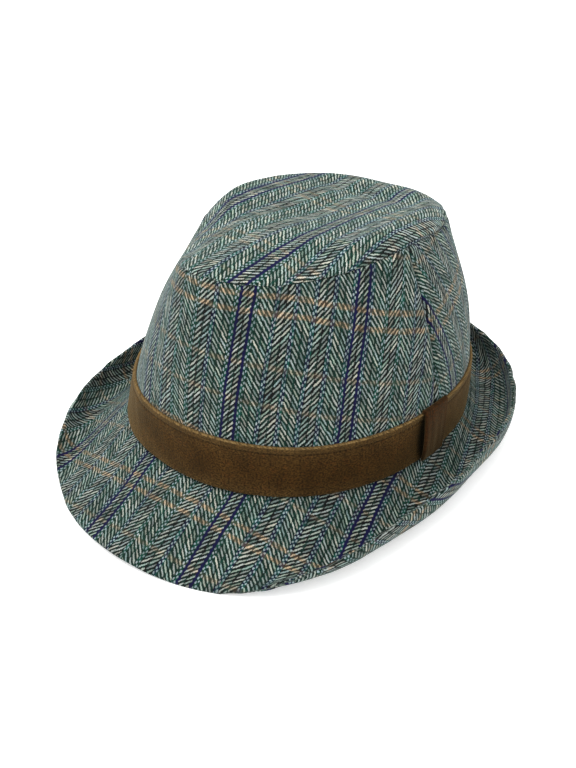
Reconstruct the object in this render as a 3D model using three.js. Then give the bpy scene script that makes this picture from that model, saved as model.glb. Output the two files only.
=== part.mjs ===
// A trilby hat of woven cloth, in millimetres, +Z up.
// The front of the hat faces -Y and its left side, with the band keeper, is +X.
// Angles around the hat are in degrees, 0 at the front, 90 at the left side, 180 at the back.
import * as THREE from 'three';

// Cloth thicknesses and clearances
const CROWN_CLOTH = 2.0;
const BRIM_CLOTH = 2.4;
const BAND_CLOTH = 1.2;
const SEAM_GAP = 0.3;

// Head opening, measured outside the crown cloth
const OPENING_HALF_LENGTH = 100.6;
const OPENING_HALF_WIDTH = 89.6;
const OPENING_SQUARENESS = 2.18;
const OPENING_CURVE = 0.7;

// Seam around the top of the crown
const TIP_FRONT_LENGTH = 86.8;
const TIP_BACK_LENGTH = 81.3;
const TIP_HALF_WIDTH = 60.6;
const TIP_SETBACK = 9.2;
const TIP_FRONT_SQUARENESS = 2.07;
const TIP_BACK_SQUARENESS = 2.36;
const CROWN_HEIGHT = 100;
const TIP_CENTRE_HEIGHT = 98;

// Pinch on each side of the front of the crown
const PINCH_SHARE = 0.14;
const PINCH_ANGLE = 47;
const PINCH_SPREAD = 25;

// Outward fullness of the crown wall at half height, and how fast it fades above and below
const FULLNESS_FRONT = 3.0;
const FULLNESS_SIDE = 9.0;
const FULLNESS_BACK = 2.0;
const FULLNESS_FADE = 1.2;

// Top of the crown: it rises above the seam, slowly at the front and in a rolled rim at the
// sides and back, leans a little to the left and sinks in a shallow lengthwise dent
const RIM_RISE_FRONT = 11.5;
const RIM_RISE_SIDE = 9.9;
const RIM_RISE_BACK = 9.5;
const RIM_SHARE_FRONT = 0.85;
const RIM_SHARE_SIDE = 0.2;
const RIM_SHARE_BACK = 0.25;
const MIDDLE_RISE = 7.3;
const TIP_LEAN = 2.4;
const TIP_LEAN_SHARE = 0.3;
const DENT_DEPTH = 2;
const DENT_SHARE_START = 0.1;
const DENT_SHARE_FULL = 0.6;
const DENT_HALF_WIDTH = 20;
const DENT_START = -35;
const DENT_DEEPEST = 20;

// Hatband, with its top a little lower below each pinch, and its keeper
const BAND_HEIGHT = 27.2;
const BAND_DIP = 2.2;
const BAND_DIP_SPREAD = 22;
const KEEPER_WIDTH = 17;
const KEEPER_ANGLE = 89;

// Brim
const BRIM_WIDTH = 51;
const BRIM_FOLD_SOFTNESS = 0.09;

// Resting pose: the hat leans back until front and back both touch
const REST_TILT = 3.4;
const REST_PRESS = 0.7;

// Shares around the hat: seam height of CROWN_HEIGHT, brim width of BRIM_WIDTH,
// slopes of the brim in degrees before and after its fold, and where the fold is across the brim
const AROUND = [
  { angle: 0, seamHeight: 0.993, brimWidth: 1.0, innerSlope: -25, outerSlope: -46, foldAt: 1.3 },
  { angle: 45, seamHeight: 0.946, brimWidth: 0.914, innerSlope: -36, outerSlope: 84, foldAt: 0.806 },
  { angle: 90, seamHeight: 1.021, brimWidth: 0.76, innerSlope: -42, outerSlope: 84, foldAt: 0.544 },
  { angle: 135, seamHeight: 0.996, brimWidth: 0.863, innerSlope: -35, outerSlope: 94, foldAt: 0.584 },
  { angle: 180, seamHeight: 0.986, brimWidth: 0.831, innerSlope: -31, outerSlope: 95, foldAt: 0.484 },
];

// Mesh density
const ANGLE_STEPS = 72;
const WALL_STEPS = 9;
const TIP_STEPS = 9;
const BRIM_STEPS = 14;
const BAND_STEPS = 3;
const TIP_RING_REACH = 0.94;
const TIP_RING_SPACING = 1.25;

const radians = THREE.MathUtils.degToRad;

// Smooth even interpolation of one column of the table
function around(column, angle) {
  const values = AROUND.map((row) => row[column]);
  const spacing = AROUND[1].angle - AROUND[0].angle;
  const folded = Math.abs(((angle + 540) % 360) - 180);
  const last = values.length - 1;
  const place = Math.min(folded / spacing, last - 1e-9);
  const index = Math.floor(place);
  const part = place - index;
  const before = values[index === 0 ? 1 : index - 1];
  const start = values[index];
  const end = values[index + 1];
  const after = values[index + 2 > last ? last - 1 : index + 2];
  const linear = end - before;
  const square = 2 * before - 5 * start + 4 * end - after;
  const cube = 3 * (start - end) + after - before;
  return start + 0.5 * part * (linear + part * (square + part * cube));
}

// A value that changes smoothly from front to side to back
function frontSideBack(front, side, back, angle) {
  const along = Math.cos(radians(angle));
  const end = along > 0 ? front : back;
  return side + (end - side) * along * along;
}

// Point on a rounded oval seen from above
function ovalPoint(angle, halfLength, halfWidth, squareness) {
  const sine = Math.sin(radians(angle));
  const cosine = Math.cos(radians(angle));
  const sum = Math.abs(sine) ** squareness + Math.abs(cosine) ** squareness;
  const reach = sum ** (-1 / squareness);
  return [halfWidth * sine * reach, -halfLength * cosine * reach];
}

function openingPoint(angle) {
  const [x, y] = ovalPoint(angle, OPENING_HALF_LENGTH, OPENING_HALF_WIDTH, OPENING_SQUARENESS);
  const z = OPENING_CURVE * Math.cos(2 * radians(angle));
  return new THREE.Vector3(x, y, z);
}

function seamPoint(angle) {
  const isFront = Math.cos(radians(angle)) > 0;
  const halfLength = isFront ? TIP_FRONT_LENGTH : TIP_BACK_LENGTH;
  const squareness = isFront ? TIP_FRONT_SQUARENESS : TIP_BACK_SQUARENESS;
  const [x, y] = ovalPoint(angle, halfLength, TIP_HALF_WIDTH, squareness);
  const folded = Math.abs(((angle + 540) % 360) - 180);
  const pinch = 1 - PINCH_SHARE * Math.exp(-(((folded - PINCH_ANGLE) / PINCH_SPREAD) ** 2));
  const z = CROWN_HEIGHT * around('seamHeight', angle);
  return new THREE.Vector3(x * pinch, y * pinch + TIP_SETBACK, z);
}

// Outside of the crown wall, share 0 at the brim and 1 at the top seam
function wallPoint(angle, share) {
  const bottom = openingPoint(angle);
  const top = seamPoint(angle);
  const fullness = frontSideBack(FULLNESS_FRONT, FULLNESS_SIDE, FULLNESS_BACK, angle);
  const swell = Math.max(4 * share * (1 - share), 0) ** FULLNESS_FADE;
  const outward = new THREE.Vector3(bottom.x, bottom.y, 0).normalize();
  return bottom.clone().lerp(top, share).addScaledVector(outward, fullness * swell);
}

function wallNormal(angle, share) {
  const step = 0.01;
  const across = wallPoint(angle + step, share).sub(wallPoint(angle - step, share));
  const upward = wallPoint(angle, share + step).sub(wallPoint(angle, share - step));
  return across.cross(upward).normalize();
}

function wallOffset(angle, share, distance) {
  return wallPoint(angle, share).addScaledVector(wallNormal(angle, share), distance);
}

// Outside of the top, share 0 at the seam and 1 at the centre
function tipPoint(angle, share) {
  const edge = seamPoint(angle);
  const centre = new THREE.Vector3(0, TIP_SETBACK, TIP_CENTRE_HEIGHT);
  const point = edge.clone().lerp(centre, share);
  point.z = centre.z + (edge.z - centre.z) * (1 - share) ** 2;
  const rimShare = frontSideBack(RIM_SHARE_FRONT, RIM_SHARE_SIDE, RIM_SHARE_BACK, angle);
  const rimRise = frontSideBack(RIM_RISE_FRONT, RIM_RISE_SIDE, RIM_RISE_BACK, angle);
  const rise = rimRise + (MIDDLE_RISE - rimRise) * share ** 2;
  point.z += rise * Math.sin(Math.min(share / rimShare, 1) * Math.PI / 2);
  point.z -= TIP_LEAN * point.x / TIP_HALF_WIDTH * THREE.MathUtils.smoothstep(share, 0, TIP_LEAN_SHARE);
  const inside = THREE.MathUtils.smoothstep(share, DENT_SHARE_START, DENT_SHARE_FULL);
  const along = THREE.MathUtils.smoothstep(point.y, DENT_START, DENT_DEEPEST);
  const sideways = Math.exp(-((point.x / DENT_HALF_WIDTH) ** 2));
  point.z -= DENT_DEPTH * inside * along * sideways;
  return point;
}

function tipNormal(angle, share) {
  const step = 0.004;
  const turned = tipPoint(angle + 0.5, share).sub(tipPoint(angle - 0.5, share));
  const inward = tipPoint(angle, share + step).sub(tipPoint(angle, Math.max(share - step, 0)));
  return turned.cross(inward).normalize();
}

// Outward direction in plan at the head opening
function outwardAt(angle) {
  const step = 0.01;
  const ahead = openingPoint(angle + step);
  const behind = openingPoint(angle - step);
  return new THREE.Vector3(ahead.y - behind.y, behind.x - ahead.x, 0).normalize();
}

// Slope of the brim in radians at a share of its width
function brimSlope(angle, share) {
  const inner = around('innerSlope', angle);
  const outer = around('outerSlope', angle);
  const folded = 1 / (1 + Math.exp(-(share - around('foldAt', angle)) / BRIM_FOLD_SOFTNESS));
  return radians(inner + (outer - inner) * folded);
}

// Closed section of the brim: upper side outward, then under side back inward
function brimSection(angle) {
  const outward = outwardAt(angle);
  const width = BRIM_WIDTH * around('brimWidth', angle);
  const start = openingPoint(angle);
  start.z -= SEAM_GAP;
  const upper = [start.clone().addScaledVector(outward, -CROWN_CLOTH), start.clone()];
  const under = upper.map((point) => point.clone().setZ(point.z - BRIM_CLOTH));
  const place = start.clone();
  for (let step = 1; step <= BRIM_STEPS; step += 1) {
    const middle = brimSlope(angle, (step - 0.5) / BRIM_STEPS);
    place.addScaledVector(outward, Math.cos(middle) * width / BRIM_STEPS);
    place.z += Math.sin(middle) * width / BRIM_STEPS;
    const slope = brimSlope(angle, step / BRIM_STEPS);
    const below = place.clone().addScaledVector(outward, Math.sin(slope) * BRIM_CLOTH);
    below.z -= Math.cos(slope) * BRIM_CLOTH;
    upper.push(place.clone());
    under.push(below);
  }
  return [...upper, ...under.reverse()];
}

// Closed section of the crown wall: outside upward, then inside downward
function wallSection(angle) {
  const outside = [];
  const inside = [];
  for (let step = 0; step <= WALL_STEPS; step += 1) {
    const share = step / WALL_STEPS;
    outside.push(wallPoint(angle, share));
    inside.push(wallOffset(angle, share, -CROWN_CLOTH));
  }
  inside[0].z = outside[0].z;
  return [...outside, ...inside.reverse()];
}

function bandTop(angle) {
  const folded = Math.abs(((angle + 540) % 360) - 180);
  return BAND_HEIGHT - BAND_DIP * Math.exp(-(((folded - PINCH_ANGLE) / BAND_DIP_SPREAD) ** 2));
}

// Closed section of the hatband
function bandSection(angle) {
  const height = CROWN_HEIGHT * around('seamHeight', angle);
  const outside = [];
  const inside = [];
  for (let step = 0; step <= BAND_STEPS; step += 1) {
    const share = (SEAM_GAP + (bandTop(angle) - SEAM_GAP) * step / BAND_STEPS) / height;
    inside.push(wallOffset(angle, share, SEAM_GAP));
    outside.push(wallOffset(angle, share, SEAM_GAP + BAND_CLOTH));
  }
  inside[0].z = outside[0].z;
  return [...outside, ...inside.reverse()];
}

// Closed section of the keeper: it covers the band and folds over its top edge
function keeperSection(angle) {
  const height = CROWN_HEIGHT * around('seamHeight', angle);
  const inner = 2 * SEAM_GAP + BAND_CLOTH;
  const outer = inner + BAND_CLOTH;
  const low = SEAM_GAP / height;
  const under = (bandTop(angle) + SEAM_GAP) / height;
  const high = (bandTop(angle) + SEAM_GAP + BAND_CLOTH) / height;
  const middle = 0.5 * (low + under);
  return [
    wallOffset(angle, low, outer),
    wallOffset(angle, middle, outer),
    wallOffset(angle, high, outer),
    wallOffset(angle, high, SEAM_GAP),
    wallOffset(angle, under, SEAM_GAP),
    wallOffset(angle, under, inner),
    wallOffset(angle, middle, inner),
    wallOffset(angle, low, inner),
  ];
}

// Hat leaning back at rest, with the cloth pressed flat where it touches the table
let tableHeight = 0;

function leaned(point) {
  return point.clone().applyAxisAngle(new THREE.Vector3(1, 0, 0), -radians(REST_TILT));
}

function rested(point) {
  const turned = leaned(point);
  turned.z = Math.max(turned.z - tableHeight, 0);
  return turned;
}

function findTable(angles) {
  let lowest = Infinity;
  for (const angle of angles) {
    for (const point of brimSection(angle)) {
      lowest = Math.min(lowest, leaned(point).z);
    }
  }
  return lowest + REST_PRESS;
}

// Closed geometry from points and triangles, turned to face outward
function solid(points, triangles) {
  let volume = 0;
  for (const [a, b, c] of triangles) {
    volume += points[a].dot(points[b].clone().cross(points[c]));
  }
  const indices = triangles.flatMap(([a, b, c]) => (volume > 0 ? [a, b, c] : [a, c, b]));
  const geometry = new THREE.BufferGeometry();
  const positions = points.flatMap((point) => [point.x, point.y, point.z]);
  geometry.setAttribute('position', new THREE.Float32BufferAttribute(positions, 3));
  geometry.setIndex(indices);
  geometry.computeVertexNormals();
  return geometry;
}

// Body swept through a list of angles; a full turn joins up, a part turn gets end faces
function sweptBody(angles, sectionAt, isFullTurn) {
  const sections = angles.map(sectionAt);
  const count = sections[0].length;
  const points = sections.flat().map(rested);
  const triangles = [];
  const spans = isFullTurn ? angles.length : angles.length - 1;
  for (let span = 0; span < spans; span += 1) {
    const here = span * count;
    const next = ((span + 1) % angles.length) * count;
    for (let step = 0; step < count; step += 1) {
      const other = (step + 1) % count;
      triangles.push([here + step, next + step, next + other]);
      triangles.push([here + step, next + other, here + other]);
    }
  }
  if (!isFullTurn) {
    const end = (angles.length - 1) * count;
    for (let step = 0; step < count / 2 - 1; step += 1) {
      const far = count - 1 - step;
      triangles.push([step, step + 1, far - 1], [step, far - 1, far]);
      triangles.push([end + step, end + far - 1, end + step + 1], [end + step, end + far, end + far - 1]);
    }
  }
  return solid(points, triangles);
}

// Body of the top: rings from the seam to the centre, outside and inside
function tipBody(angles) {
  const points = [];
  const rings = TIP_STEPS + 1;
  const count = angles.length;
  const raise = new THREE.Vector3(0, 0, SEAM_GAP);
  for (const side of [0, CROWN_CLOTH]) {
    for (let ring = 0; ring < rings; ring += 1) {
      const share = TIP_RING_REACH * (ring / TIP_STEPS) ** TIP_RING_SPACING;
      for (const angle of angles) {
        const normal = ring === 0 ? wallNormal(angle, 1) : tipNormal(angle, share);
        points.push(rested(tipPoint(angle, share).add(raise).addScaledVector(normal, -side)));
      }
    }
    const centre = tipPoint(0, 1).add(raise);
    points.push(rested(centre.setZ(centre.z - side)));
  }
  const layer = rings * count + 1;
  const triangles = [];
  for (let index = 0; index < count; index += 1) {
    const next = (index + 1) % count;
    for (let ring = 0; ring < TIP_STEPS; ring += 1) {
      const low = ring * count;
      const high = low + count;
      triangles.push([low + index, low + next, high + next], [low + index, high + next, high + index]);
      triangles.push([layer + low + index, layer + high + next, layer + low + next]);
      triangles.push([layer + low + index, layer + high + index, layer + high + next]);
    }
    const last = TIP_STEPS * count;
    triangles.push([last + index, last + next, layer - 1]);
    triangles.push([layer + last + index, 2 * layer - 1, layer + last + next]);
    triangles.push([index, layer + index, layer + next], [index, layer + next, next]);
  }
  return solid(points, triangles);
}

// Evenly spaced angles from one to another, both included
function angleRange(from, to, steps) {
  return Array.from({ length: steps + 1 }, (_, index) => from + (to - from) * index / steps);
}

const ROUND = angleRange(0, 360, ANGLE_STEPS).slice(0, -1);
tableHeight = findTable(ROUND);

// The side seams leave a narrow gap between the front and back panels
const SEAM_HALF_ANGLE = THREE.MathUtils.radToDeg(0.5 * SEAM_GAP / TIP_HALF_WIDTH);
const frontAngles = angleRange(-90 + SEAM_HALF_ANGLE, 90 - SEAM_HALF_ANGLE, ANGLE_STEPS / 2);
const backAngles = angleRange(90 + SEAM_HALF_ANGLE, 270 - SEAM_HALF_ANGLE, ANGLE_STEPS / 2);
const keeperHalfAngle = THREE.MathUtils.radToDeg(0.5 * KEEPER_WIDTH / OPENING_HALF_WIDTH);
const keeperAngles = angleRange(KEEPER_ANGLE - keeperHalfAngle, KEEPER_ANGLE + keeperHalfAngle, 4);

const tweed = new THREE.MeshStandardMaterial({ color: 0x5d7068, roughness: 0.95 });
const suedeCloth = new THREE.MeshStandardMaterial({ color: 0x5a442b, roughness: 0.9 });

const hat = new THREE.Group();
hat.name = 'trilby';

function addPiece(name, geometry, material) {
  const mesh = new THREE.Mesh(geometry, material);
  mesh.name = name;
  hat.add(mesh);
}

addPiece('crown_front', sweptBody(frontAngles, wallSection, false), tweed);
addPiece('crown_back', sweptBody(backAngles, wallSection, false), tweed);
addPiece('crown_tip', tipBody(ROUND), tweed);
addPiece('brim', sweptBody(ROUND, brimSection, true), tweed);
addPiece('hatband', sweptBody(ROUND, bandSection, true), suedeCloth);
addPiece('band_tab', sweptBody(keeperAngles, keeperSection, false), suedeCloth);

// Origin under the middle of the hat, on the table
const box = new THREE.Box3().setFromObject(hat);
const middle = box.getCenter(new THREE.Vector3());
for (const mesh of hat.children) {
  mesh.geometry.translate(-middle.x, -middle.y, -box.min.z);
}

export default hat;
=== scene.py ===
# A trilby of herringbone tweed with a brown cloth hatband.
# Shapes are worked out in millimetres, like the part, and turned into metres at the end.
# The front of the hat faces -Y and its left side is +X. Angles around it are in degrees from the front.
import bpy
import numpy as np
from mathutils import Matrix, Vector


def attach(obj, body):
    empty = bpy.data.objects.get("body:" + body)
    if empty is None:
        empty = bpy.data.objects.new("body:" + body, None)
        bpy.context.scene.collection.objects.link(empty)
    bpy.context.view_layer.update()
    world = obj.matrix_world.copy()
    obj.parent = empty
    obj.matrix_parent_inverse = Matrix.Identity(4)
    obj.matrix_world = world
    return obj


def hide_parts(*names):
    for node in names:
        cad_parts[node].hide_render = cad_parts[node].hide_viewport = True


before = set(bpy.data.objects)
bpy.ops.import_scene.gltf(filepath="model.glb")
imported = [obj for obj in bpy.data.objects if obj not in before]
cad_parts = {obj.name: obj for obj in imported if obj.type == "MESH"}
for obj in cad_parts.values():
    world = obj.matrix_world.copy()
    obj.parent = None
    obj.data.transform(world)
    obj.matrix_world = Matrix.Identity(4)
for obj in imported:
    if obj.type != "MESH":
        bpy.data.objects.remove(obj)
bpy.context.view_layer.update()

MILLIMETRE = 0.001

# Cloth thicknesses and clearances
CROWN_CLOTH = 2.0
BRIM_CLOTH = 2.4
BAND_CLOTH = 1.2
SEAM_GAP = 0.3

# Head opening, outside the crown cloth
OPENING_HALF_LENGTH = 100.6
OPENING_HALF_WIDTH = 89.6
OPENING_SQUARENESS = 2.18
OPENING_CURVE = 0.7

# Seam around the top of the crown
TIP_FRONT_LENGTH = 86.8
TIP_BACK_LENGTH = 81.3
TIP_HALF_WIDTH = 60.6
TIP_SETBACK = 9.2
TIP_FRONT_SQUARENESS = 2.07
TIP_BACK_SQUARENESS = 2.36
CROWN_HEIGHT = 100.0

# Pinch on each side of the front of the crown
PINCH_SHARE = 0.14
PINCH_ANGLE = 47.0
PINCH_SPREAD = 25.0

# Outward fullness of the crown wall at half height, and how fast it fades above and below
FULLNESS_FRONT = 3.0
FULLNESS_SIDE = 9.0
FULLNESS_BACK = 2.0
FULLNESS_FADE = 1.2

# Rolled rim and dent of the top
RIM_RISE_FRONT = 11.5
RIM_RISE_SIDE = 9.9
RIM_RISE_BACK = 9.5
RIM_SHARE_FRONT = 0.85
RIM_SHARE_SIDE = 0.2
RIM_SHARE_BACK = 0.25
MIDDLE_RISE = 7.3
MIDDLE_HEIGHT_SHARE = 0.98
TIP_LEAN = 2.4
TIP_LEAN_SHARE = 0.3
DENT_DEPTH = 2.0
DENT_SHARE_START = 0.1
DENT_SHARE_FULL = 0.6
DENT_HALF_WIDTH = 20.0
DENT_START = -35.0
DENT_DEEPEST = 20.0

# Small valley across the top in front of its back rim
VALLEY_DEPTH = 2.6
VALLEY_Y = 54.0
VALLEY_HALF_WIDTH = 8.0
VALLEY_REACH = 38.0

# Hatband, with its top a little lower below each pinch, and its keeper
BAND_HEIGHT = 27.2
BAND_DIP = 2.2
BAND_DIP_SPREAD = 22.0
KEEPER_WIDTH = 17.0
KEEPER_ANGLE = 89.0

# Brim
BRIM_WIDTH = 51.0
BRIM_FOLD_SOFTNESS = 0.09

# Resting pose: lean, height of the table and offset to the middle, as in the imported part
REST_TILT = np.radians(3.4)
TABLE_HEIGHT = -17.118
MIDDLE_SHIFT = 10.778

# Values around the hat at these angles
AROUND_ANGLES = np.array([0.0, 45.0, 90.0, 135.0, 180.0])
AROUND = {
    "seam_height": np.array([0.993, 0.946, 1.021, 0.996, 0.986]),
    "brim_width": np.array([1.0, 0.914, 0.76, 0.863, 0.831]),
    "inner_slope": np.array([-25.0, -36.0, -42.0, -35.0, -31.0]),
    "outer_slope": np.array([-46.0, 84.0, 84.0, 94.0, 95.0]),
    "fold_at": np.array([1.3, 0.806, 0.544, 0.584, 0.484]),
}

# Step for directions on a surface, and a length too short to divide by
SMALL_STEP = 0.01
TINY = 1e-9

# Waves of the cloth, drawn in a fixed order from a seed for each use
WAVE_COUNT = 7
WAVE_SHORTEST = 0.7
WAVE_LONGEST = 1.5
WAVE_SEEDS = {
    "seam": 3,
    "panel": 5,
    "tip": 9,
    "brim": 21,
    "brim_edge": 23,
    "brim_fringe": 27,
    "band": 31,
    "band_fine": 33,
}

# Softness of the crown and brim: how far it stands in or out, and the length of its waves
SOFTNESS = 0.7
PANEL_WAVE = 62.0
TIP_WAVE = 55.0
BRIM_WAVE = 48.0

# How far from the band, the seam and the opening the cloth is fully free to be soft
PANEL_FREE_REACH = 25.0
TIP_FREE_REACH = 12.0
BRIM_FREE_START = 3.0
BRIM_FREE_FULL = 25.0

# Seams: how far the cloth rolls in at them, and the ripples that fade away from them
SEAM_ROLL = 1.1
SIDE_ROLL_REACH = 1.1
TOP_ROLL_REACH = 1.2
SEAM_RIPPLE = 0.28
SEAM_RIPPLE_WAVE = 11.0
SIDE_RIPPLE_REACH = 7.0
TOP_RIPPLE_REACH = 8.0
INSIDE_CLEARANCE = 0.2

# Start of the strip of wall below the seam that turns the edge of the top
WALL_TOP_SHARE = 0.98

# Edge of the brim: slow and fast ripples
EDGE_RIPPLE = 0.4
EDGE_RIPPLE_WAVE = 14.0
EDGE_RIPPLE_REACH = 7.0
FRINGE_RIPPLE = 0.16
FRINGE_RIPPLE_WAVE = 5.0
FRINGE_RIPPLE_REACH = 3.0

# Rows and columns of each mesh, and how the rows crowd towards an edge
PANEL_COLUMNS = 200
PANEL_ROWS = 70
PANEL_CROWDING = 1.35
TIP_COLUMNS = 260
TIP_ROWS = 60
TIP_CROWDING = 1.5
TIP_LAST_SHARE = 0.985
BRIM_COLUMNS = 640
BRIM_STEPS = 60
BRIM_CROWDING = 1.5
BAND_COLUMNS = 440
BAND_ROWS = 64
KEEPER_COLUMNS = 90
KEEPER_ROWS = 40
KEEPER_TURN_ROWS = 10


def hump(value, reach):
    """1 at 0, and fading smoothly to either side."""
    return np.exp(-(value / reach) ** 2)


def smooth_step(value, low, high):
    """0 below the low value and 1 above the high one, with a smooth change."""
    part = np.clip((value - low) / (high - low), 0, 1)
    return part * part * (3 - 2 * part)


def folded_angle(angle):
    """Angle from the front to either side, from 0 to 180."""
    return np.abs((angle + 180.0) % 360.0 - 180.0)


def around(column, angle):
    """Smooth value of one column of the table at each angle."""
    values = AROUND[column]
    last = len(values) - 1
    place = folded_angle(angle) / AROUND_ANGLES[1]
    index = np.clip(place.astype(int), 0, last - 1)
    part = place - index
    padded = np.concatenate([values[1:2], values, values[last - 1:last]])
    before, start, end, after = (padded[index + step] for step in range(4))
    square = 2 * before - 5 * start + 4 * end - after
    cube = 3 * (start - end) + after - before
    return start + 0.5 * part * (end - before + part * (square + part * cube))


def seam_height(angle):
    """Height of the seam around the top at each angle."""
    return CROWN_HEIGHT * around("seam_height", angle)


def front_side_back(front, side, back, angle):
    """Value at each angle that changes smoothly from the front to the sides and the back."""
    along = np.cos(np.radians(angle))
    end = np.where(along > 0, front, back)
    return side + (end - side) * along ** 2


def oval_point(angle, half_length, half_width, squareness):
    """Point on a rounded oval seen from above."""
    sine = np.sin(np.radians(angle))
    cosine = np.cos(np.radians(angle))
    total = np.abs(sine) ** squareness + np.abs(cosine) ** squareness
    reach = total ** (-1 / squareness)
    return half_width * sine * reach, -half_length * cosine * reach


def opening_point(angle):
    """Point on the head opening, outside the crown cloth."""
    x, y = oval_point(angle, OPENING_HALF_LENGTH, OPENING_HALF_WIDTH, OPENING_SQUARENESS)
    return np.stack([x, y, OPENING_CURVE * np.cos(2 * np.radians(angle))], -1)


def seam_point(angle):
    """Point on the seam around the top, drawn in at each pinch."""
    is_front = np.cos(np.radians(angle)) > 0
    front = oval_point(angle, TIP_FRONT_LENGTH, TIP_HALF_WIDTH, TIP_FRONT_SQUARENESS)
    back = oval_point(angle, TIP_BACK_LENGTH, TIP_HALF_WIDTH, TIP_BACK_SQUARENESS)
    x = np.where(is_front, front[0], back[0])
    y = np.where(is_front, front[1], back[1])
    pinch = 1 - PINCH_SHARE * hump(folded_angle(angle) - PINCH_ANGLE, PINCH_SPREAD)
    return np.stack([x * pinch, y * pinch + TIP_SETBACK, seam_height(angle)], -1)


def band_top(angle):
    """Height of the top edge of the hatband at each angle."""
    return BAND_HEIGHT - BAND_DIP * hump(folded_angle(angle) - PINCH_ANGLE, BAND_DIP_SPREAD)


def wall_point(angle, share):
    """Outside of the crown wall, share 0 at the brim and 1 at the top seam."""
    bottom = opening_point(angle)
    top = seam_point(angle)
    fullness = front_side_back(FULLNESS_FRONT, FULLNESS_SIDE, FULLNESS_BACK, angle)
    swell = fullness * np.maximum(4 * share * (1 - share), 0) ** FULLNESS_FADE
    outward = bottom * [1, 1, 0]
    outward = outward / np.linalg.norm(outward, axis=-1, keepdims=True)
    share = np.asarray(share)[..., None]
    return bottom + (top - bottom) * share + outward * swell[..., None]


def tip_point(angle, share):
    """Outside of the top, share 0 at the seam and 1 at the centre."""
    edge = seam_point(angle)
    centre = np.array([0.0, TIP_SETBACK, CROWN_HEIGHT * MIDDLE_HEIGHT_SHARE])
    point = edge + (centre - edge) * share[..., None]
    point[..., 2] = centre[2] + (edge[..., 2] - centre[2]) * (1 - share) ** 2
    rim_share = front_side_back(RIM_SHARE_FRONT, RIM_SHARE_SIDE, RIM_SHARE_BACK, angle)
    rim_rise = front_side_back(RIM_RISE_FRONT, RIM_RISE_SIDE, RIM_RISE_BACK, angle)
    rise = rim_rise + (MIDDLE_RISE - rim_rise) * share ** 2
    point[..., 2] += rise * np.sin(np.minimum(share / rim_share, 1) * np.pi / 2)
    point[..., 2] -= TIP_LEAN * point[..., 0] / TIP_HALF_WIDTH * smooth_step(share, 0, TIP_LEAN_SHARE)
    inside = smooth_step(share, DENT_SHARE_START, DENT_SHARE_FULL)
    along = smooth_step(point[..., 1], DENT_START, DENT_DEEPEST)
    point[..., 2] -= DENT_DEPTH * inside * along * hump(point[..., 0], DENT_HALF_WIDTH)
    valley = hump(point[..., 1] - VALLEY_Y, VALLEY_HALF_WIDTH)
    valley = valley * np.exp(-(point[..., 0] / VALLEY_REACH) ** 4)
    point[..., 2] -= VALLEY_DEPTH * inside * valley
    return point


def outward_at(angle):
    """Outward direction in plan at the head opening."""
    ahead = opening_point(angle + SMALL_STEP)
    behind = opening_point(angle - SMALL_STEP)
    direction = np.stack([ahead[..., 1] - behind[..., 1], behind[..., 0] - ahead[..., 0]], -1)
    direction = direction / np.linalg.norm(direction, axis=-1, keepdims=True)
    return np.concatenate([direction, np.zeros(direction.shape[:-1] + (1,))], -1)


def brim_slope(angle, share):
    """Slope of the brim in radians, which turns up where the brim folds."""
    inner = around("inner_slope", angle)
    outer = around("outer_slope", angle)
    turned = 1 / (1 + np.exp(-(share - around("fold_at", angle)) / BRIM_FOLD_SOFTNESS))
    return np.radians(inner + (outer - inner) * turned)


def rested(points):
    """Hat leaning back on the table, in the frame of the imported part, still in millimetres."""
    x, y, z = points[..., 0], points[..., 1], points[..., 2]
    turned_y = y * np.cos(REST_TILT) + z * np.sin(REST_TILT)
    turned_z = -y * np.sin(REST_TILT) + z * np.cos(REST_TILT)
    return np.stack([x, turned_y + MIDDLE_SHIFT, np.maximum(turned_z - TABLE_HEIGHT, 0)], -1)


def waves(points, size, use):
    """Smooth unevenness from a few waves in fixed directions, about -1 to 1."""
    maker = np.random.default_rng(WAVE_SEEDS[use])
    total = np.zeros(points.shape[:-1])
    for _ in range(WAVE_COUNT):
        direction = maker.normal(size=3)
        direction = direction / np.linalg.norm(direction)
        length = size * maker.uniform(WAVE_SHORTEST, WAVE_LONGEST)
        phase = maker.uniform(0, 2 * np.pi)
        total += np.sin(points @ direction * (2 * np.pi / length) + phase)
    return total / np.sqrt(WAVE_COUNT)


def grid_normals(points):
    """Unit normals of a grid of rows by columns of points."""
    across = np.gradient(points, axis=1)
    upward = np.gradient(points, axis=0)
    normal = np.cross(across, upward)
    return normal / np.maximum(np.linalg.norm(normal, axis=-1, keepdims=True), TINY)


def ring_length(points):
    """Length along each row from its first column."""
    steps = np.linalg.norm(np.diff(points, axis=1), axis=-1)
    return np.concatenate([np.zeros((len(points), 1)), np.cumsum(steps, axis=1)], axis=1)


def crowded_shares(count, crowding):
    """Shares from 0 to 1, closer together near 1."""
    return 1 - (1 - np.linspace(0, 1, count)) ** crowding


def closed_section(outside, inside):
    """Rows of the outside upward and of the inside back downward, as one list."""
    return np.concatenate([outside, inside[::-1]]).reshape(-1, outside.shape[-1])


def loop_faces(rows, columns, is_full_turn):
    """Faces of a closed section of so many rows, swept through the columns."""
    spans = columns if is_full_turn else columns - 1
    row = np.arange(rows)[:, None]
    column = np.arange(spans)[None, :]
    next_row = (row + 1) % rows
    next_column = (column + 1) % columns
    quads = [row * columns + column, row * columns + next_column,
             next_row * columns + next_column, next_row * columns + column]
    faces = np.stack(quads, -1).reshape(-1, 4)
    if not is_full_turn:
        half = rows // 2
        pair = np.arange(half - 1)
        far = rows - 1 - pair
        first = np.stack([pair, pair + 1, far - 1, far], -1) * columns
        last = np.stack([far, far - 1, pair + 1, pair], -1) * columns + columns - 1
        faces = np.concatenate([faces, first, last])
    return faces.tolist()


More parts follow.
